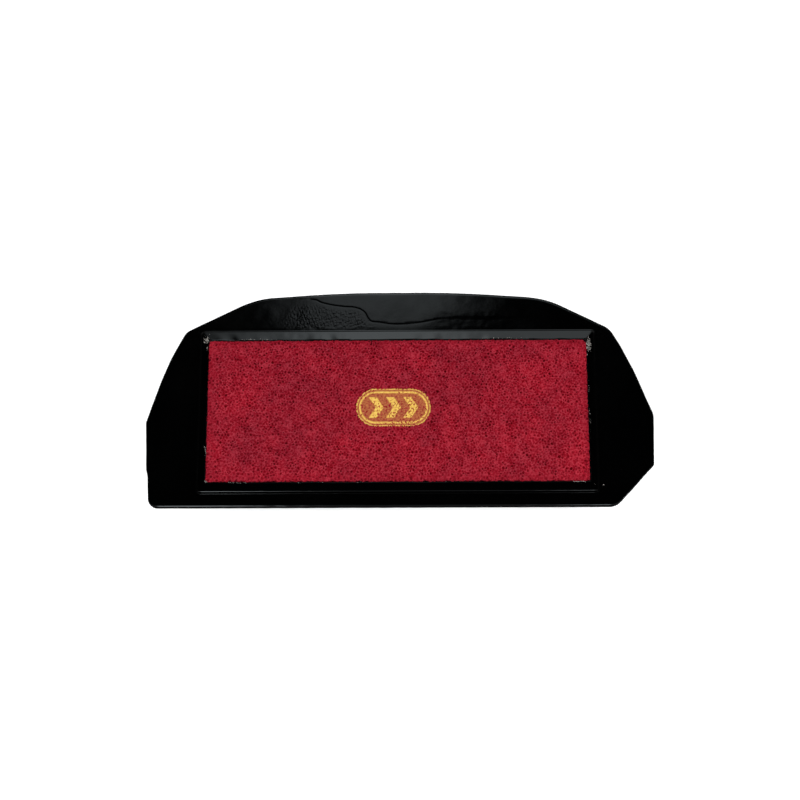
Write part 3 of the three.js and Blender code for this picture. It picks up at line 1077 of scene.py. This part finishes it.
# Where glue residue and painted highlight specks show: centre x and y, how far they spread in x and y, and a
# count of flakes
# The run centred at 66.0, 36.1 lies on the rim's top band: its pale flakes are painted highlight specks. The
# other rows are dried glue residue.
RESIDUE_AND_HIGHLIGHT_SPECKS_MM = [
    (-115.4, 35.8, 2.0, 2.4, 30), (-114.9, 30.5, 0.4, 1.2, 6), (-114.4, -31.5, 0.5, 2.6, 7),
    (-94.5, -52.4, 4.8, 0.35, 16), (-113.6, -51.6, 0.8, 0.5, 5), (112.6, 33.2, 0.6, 2.2, 12),
    (112.7, 31.6, 1.2, 4.6, 66), (104.8, -52.3, 4.5, 0.4, 16), (119.0, -54.3, 0.6, 0.3, 1),
    (113.5, -53.8, 0.6, 0.3, 1), (-84.0, 35.9, 14.0, 0.3, 12), (66.0, 36.1, 17.0, 0.35, 12),
    (112.2, -6.0, 0.3, 24.0, 9), (-40.0, -52.3, 45.0, 0.3, 10),
]
FLAKES_PER_COUNT = 3
FRONT_CROWN = BEAD_TOP - 0.7 * MM


def front_bead():
    """The bead of glue, mostly hidden and dark, with pale flakes on the rim and the foam: dried residue, and
    on the rim's top band painted highlight specks.
    """
    vertices, faces = ring_mesh(glue_ring(BEAD_LOW, FRONT_CROWN, 71))
    pale = [np.zeros(len(vertices))]
    vertices = [vertices]
    total = len(vertices[0])
    draw = np.random.default_rng(72)
    for x, y, spread_x, spread_y, count in RESIDUE_AND_HIGHLIGHT_SPECKS_MM:
        for _ in range(FLAKES_PER_COUNT * count):
            px = x + draw.normal(0, 0.5) * spread_x
            py = y + draw.normal(0, 0.5) * spread_y
            lift = draw.uniform(0.15, 0.5)
            centre = np.array([px * MM, py * MM, RIM_TOP + lift * MM])
            points, triangles = flake(centre, draw.uniform(0.10, 0.38) * MM, draw)
            faces += [tuple(total + i for i in face) for face in triangles]
            vertices.append(points)
            # Pale flakes: dried residue, and in the top band's run painted highlight specks.
            pale.append(np.full(len(points), draw.uniform(0.45, 1.0)))
            total += len(points)
    vertices, pale = np.vstack(vertices), np.concatenate(pale)
    piece = make_piece("front_glue_and_highlight_specks", vertices, faces, adhesive_material(), pale=pale)
    return settle(piece, "adhesive", "front_adhesive_bead")


def rear_bead():
    vertices, faces = ring_mesh(glue_ring(REAR_LOW, REAR_TOP, 75))
    piece = make_piece("rear_glue", vertices, faces, adhesive_material(), pale=np.full(len(vertices), 0.25))
    return settle(piece, "adhesive", "rear_adhesive_bead")


SHEET = 0.5 * MM
LEG_REACH = 7.5 * MM
FOLD_STEPS = 6


def fold_arc(radius, half):
    """Half a circle around the fold's centre, which is half inside the outline, from top to bottom."""
    angles = [math.pi / 2 * (1 - 2 * k / FOLD_STEPS) for k in range(FOLD_STEPS + 1)]
    return [(half - radius * math.cos(angle), radius * math.sin(angle)) for angle in angles]


def screen_border():
    """The steel strip folded over the wires' ends: a round fold outside and two legs that reach inwards."""
    half = (BORDER_HIGH - BORDER_LOW) / 2
    outer = window_outline(BORDER_SIZE[0] / MM, BORDER_SIZE[1] / MM, 2.0)
    bend = LEG_REACH * 0.55
    outside = [(LEG_REACH, half), (bend, half), *fold_arc(half, half), (bend, -half), (LEG_REACH, -half)]
    inner_half = half - SHEET
    inside_leg = [(LEG_REACH, -inner_half), *fold_arc(inner_half, half)[::-1], (LEG_REACH, inner_half)]
    rows = []
    for inset, height in outside + inside_leg:
        points = outer.at(inset)
        x, y = points.T
        dent = swells(x, y, (0.05, 12, 91)) * smooth_step(inset, 1 * MM, 4 * MM)
        rows.append(row(points, BORDER_CENTRE[2] + height + dent))
    vertices, faces = ring_mesh(rows)
    piece = make_piece("screen_edge_strip", vertices, faces, steel_material("zinc_sheet", True))
    return settle(piece, "screen_steel", "screen_border")


WIRE_SIDES = 10
WIRE_STEPS = 9
WIRE_RADIUS = 0.45 * MM
WIRE_CRIMP = 0.55 * MM


def woven_wire(node, along, crossings, phase, material):
    """A round wire over its CAD node's box, crimped over and under the wires that it crosses."""
    low, high = (np.array(corner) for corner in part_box(node))
    middle = (low + high) / 2
    length = (high - low)[along]
    spans = crossings + 1
    t = np.linspace(0, spans, spans * WIRE_STEPS + 1)
    swing = np.cos(math.pi * t) * (1 if phase % 2 == 0 else -1)
    swing *= smooth_step(t, 0.15, 0.95) * smooth_step(spans - t, 0.15, 0.95)
    swing = np.sign(swing) * np.abs(swing) ** 0.85 * WIRE_CRIMP
    angles = np.arange(WIRE_SIDES) * 2 * math.pi / WIRE_SIDES
    rows = []
    for travel, lift in zip(t / spans - 0.5, swing):
        ring = np.zeros((WIRE_SIDES, 3))
        ring[:, along] = middle[along] + travel * length
        ring[:, 1 - along] = middle[1 - along] + np.cos(angles) * WIRE_RADIUS
        ring[:, 2] = middle[2] + lift + np.sin(angles) * WIRE_RADIUS
        rows.append(ring)
    vertices, faces = ring_mesh(rows, closed=False)
    start = tuple(range(WIRE_SIDES))
    end = tuple(range(len(vertices) - WIRE_SIDES, len(vertices)))
    if along == 1:
        faces = [face[::-1] for face in faces] + [start, end[::-1]]
    else:
        faces += [start[::-1], end]
    piece = make_piece(node + "_round", vertices, faces, material)
    return settle(piece, "screen_steel", node)


def woven_screen():
    material = steel_material("zinc_wire", False)
    cross = sorted(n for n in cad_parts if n.startswith("screen_cross_wire_"))
    long = sorted(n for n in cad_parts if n.startswith("screen_long_wire_"))
    for node in cross:
        woven_wire(node, 1, len(long), int(node.rsplit("_", 1)[1]) - 1, material)
    for node in long:
        woven_wire(node, 0, len(cross), int(node.rsplit("_", 1)[1]), material)


# ------------------------------------------------------------------ stage

CAMERA_DISTANCE = 1.1049
CAMERA_TILT = math.radians(16.6)
CAMERA_YAW = math.radians(0.6)
CAMERA_ROLL = math.radians(-0.07)
CAMERA_LENS = 84.04
CAMERA_AIM = (1.49 * MM, 5.95 * MM)


def add_camera():
    """Looks down at the foam from in front, at the angle and distance of a product shot."""
    target = Vector((WINDOW[0] + CAMERA_AIM[0], WINDOW[1] + CAMERA_AIM[1], FOAM_TOP))
    away_x = math.sin(CAMERA_YAW) * math.cos(CAMERA_TILT)
    away_z = math.cos(CAMERA_TILT) * math.cos(CAMERA_YAW)
    away = Vector((away_x, -math.sin(CAMERA_TILT), away_z)).normalized()
    right = (-away).cross(Vector((0, 1, 0))).normalized()
    up = right.cross(-away)
    axes = Matrix((right, up, away)).transposed() @ Matrix.Rotation(CAMERA_ROLL, 3, "Z")
    data = bpy.data.cameras.new("camera")
    data.lens = CAMERA_LENS
    camera = bpy.data.objects.new("camera", data)
    camera.matrix_world = Matrix.Translation(target + away * CAMERA_DISTANCE) @ axes.to_4x4()
    bpy.context.scene.collection.objects.link(camera)
    bpy.context.scene.camera = camera


# Softboxes that light the object from above, all aimed at its middle: name, place, width and height, power
SOFTBOXES = [
    ("left_softbox", (-1.35, 0.0, 1.2), (1.2, 1.6), 33),
    ("right_softbox", (1.35, 0.0, 1.2), (1.2, 1.6), 30),
    ("front_softbox", (0.0, -1.35, 1.2), (1.6, 0.9), 12),
]


def add_softbox(name, place, size, power):
    """A softbox that reflections don't show, so that the gloss shows only the world's patches."""
    data = bpy.data.lights.new(name, "AREA")
    data.shape = "RECTANGLE"
    data.size, data.size_y = size
    data.energy = power
    light = bpy.data.objects.new(name, data)
    light.location = place
    light.rotation_euler = (Vector() - Vector(place)).to_track_quat("-Z", "Y").to_euler()
    light.visible_glossy = False
    bpy.context.scene.collection.objects.link(light)


# Pale panels that the gloss shows on the studio's dark ceiling. Each has the tangents of its sides' angles
# from the vertical, left and right and then front and back, how soft each pair of sides is, and its
# brightness. The first two are behind the object and give its far flange a sheen. The others are in front
CEILING_PATCHES = [
    ((-0.066, 0.022), (0.333, 0.7), (0.027, 0.018), 0.76),
    ((-0.12, 0.18), (0.44, 0.9), (0.06, 0.05), 1.0),
    ((-0.21, -0.11), (-1.3, -0.36), (0.025, 0.05), 6.5),
    ((0.11, 0.17), (-1.3, -0.36), (0.01, 0.05), 4.0),
    ((-0.5, 0.5), (-0.95, -0.5), (0.1, 0.08), 0.8),
]
COOL_WHITE = (0.91, 1.0, 1.03)
# Brightness by the sine of the angle above the horizon, and by the sine of the angle below it
HORIZON_STOPS = [(0.0, 0.02), (0.003, 0.5), (0.03, 0.25), (0.08, 0.05), (0.33, 0.012), (0.8, 0.001)]
BELOW_STOPS = [(0.0, 0.0), (0.05, 0.35), (0.5, 0.42), (0.66, 0.0)]
CORNER_LIGHT = 0.8


def grey_stops(stops):
    return [(position, (value, value, value)) for position, value in stops]


def add_world():
    """A dark studio: pale panels on the ceiling, a soft light in each corner, and a glow below the horizon.

    The glow stands for the pale table, which gloss seen from the side shows. It is dim towards the front."""
    world = bpy.data.worlds.new("studio")
    n = Nodes(world)
    split = n.add("SeparateXYZ")
    n.link(n.add("TexCoord").outputs["Generated"], split.inputs["Vector"])
    x, y, z = (split.outputs[axis] for axis in "XYZ")
    level = n.ramp(z, *grey_stops(HORIZON_STOPS))
    below = n.ramp(n.math("MULTIPLY", z, -1.0), *grey_stops(BELOW_STOPS))
    below = n.mix(1.0, below, n.spread(y, -0.93, -0.8, 0.2, 1.0), "MULTIPLY")
    level = n.mix(1.0, level, below, "ADD")
    height = n.math("MAXIMUM", z, 0.05)
    side, back = n.math("DIVIDE", x, height), n.math("DIVIDE", y, height)
    for (left, right), (near, far), (soft_side, soft_back), brightness in CEILING_PATCHES:
        edges = [(side, left - soft_side, left + soft_side), (side, right + soft_side, right - soft_side)]
        edges += [(back, near - soft_back, near + soft_back), (back, far + soft_back, far - soft_back)]
        patch = brightness
        for value, dark, lit in edges:
            patch = n.math("MULTIPLY", n.spread(value, dark, lit, smooth=True), patch)
        level = n.mix(1.0, level, n.mix(1.0, patch, COOL_WHITE, "MULTIPLY"), "ADD")
    # This ratio is 0.5 exactly towards a corner and 0 along an axis
    diagonal = n.math("ABSOLUTE", n.math("MULTIPLY", x, y))
    level_share = n.math("SUBTRACT", 1.0, n.math("MULTIPLY", z, z))
    corner = n.spread(n.math("DIVIDE", diagonal, level_share), 0.40, 0.47, smooth=True)
    corner = n.math("MULTIPLY", corner, n.spread(z, 0.16, 0.26, smooth=True))
    corner = n.math("MULTIPLY", corner, n.spread(z, 0.58, 0.48, smooth=True))
    level = n.mix(1.0, level, n.math("MULTIPLY", corner, CORNER_LIGHT), "ADD")
    n.link(level, n.tree.nodes["Background"].inputs["Color"])
    bpy.context.scene.world = world


STAGE_RADIUS = 8.0
STAGE_SIDES = 64
WALL_HEIGHT = 5.0
FLOOR_LEVEL = -0.0004
FLOOR_GLOW = [(0, 0.38), (1, 0.92)]
FLOOR_GLOW_FADE = (0.6, 2.2)
WALL_GLOW = [(0, 0.98), (1, 1.0)]


def floor_material():
    n = new_material("pale_floor")
    n.set(Base_Color=n.ramp(n.noise(3), *grey_stops([(0.2, 0.86), (0.8, 0.89)])), Roughness=0.9)
    n.set(Specular_IOR_Level=0.1)
    distance = n.add("VectorMath", operation="LENGTH")
    n.link(n.place(), distance.inputs[0])
    away = n.spread(distance.outputs["Value"], *FLOOR_GLOW_FADE)
    n.set(Emission_Color=n.ramp(away, *grey_stops(FLOOR_GLOW)), Emission_Strength=1.0)
    return n.owner


def wall_material():
    n = new_material("pale_wall")
    n.set(Base_Color=(0.0, 0.0, 0.0), Emission_Color=n.ramp(n.noise(0.3), *grey_stops(WALL_GLOW)))
    n.set(Emission_Strength=1.0)
    return n.owner


def add_floor():
    """A pale table that glows a little, more so further away, and a pale wall far around it."""
    angles = np.arange(STAGE_SIDES) * 2 * math.pi / STAGE_SIDES
    circle = np.column_stack([np.cos(angles), np.sin(angles)]) * STAGE_RADIUS
    floor_faces = [tuple(range(STAGE_SIDES))]
    floor = make_piece("floor", row(circle, FLOOR_LEVEL), floor_faces, floor_material(), smooth=False)
    floor.visible_glossy = False
    vertices, faces = ring_mesh([row(circle, WALL_HEIGHT), row(circle, FLOOR_LEVEL)], closed=False)
    wall = make_piece("wall", vertices, faces, wall_material(), smooth=False)
    wall.visible_glossy = False
    wall.visible_diffuse = False


def add_stage():
    add_floor()
    add_world()
    for softbox in SOFTBOXES:
        add_softbox(*softbox)


add_camera()
flange_moulding()
perimeter_seal()
coarse_foam()
fine_foam()
front_bead()
rear_bead()
print_on_foam()
screen_border()
woven_screen()
add_stage()
bpy.context.scene.view_settings.view_transform = "Standard"
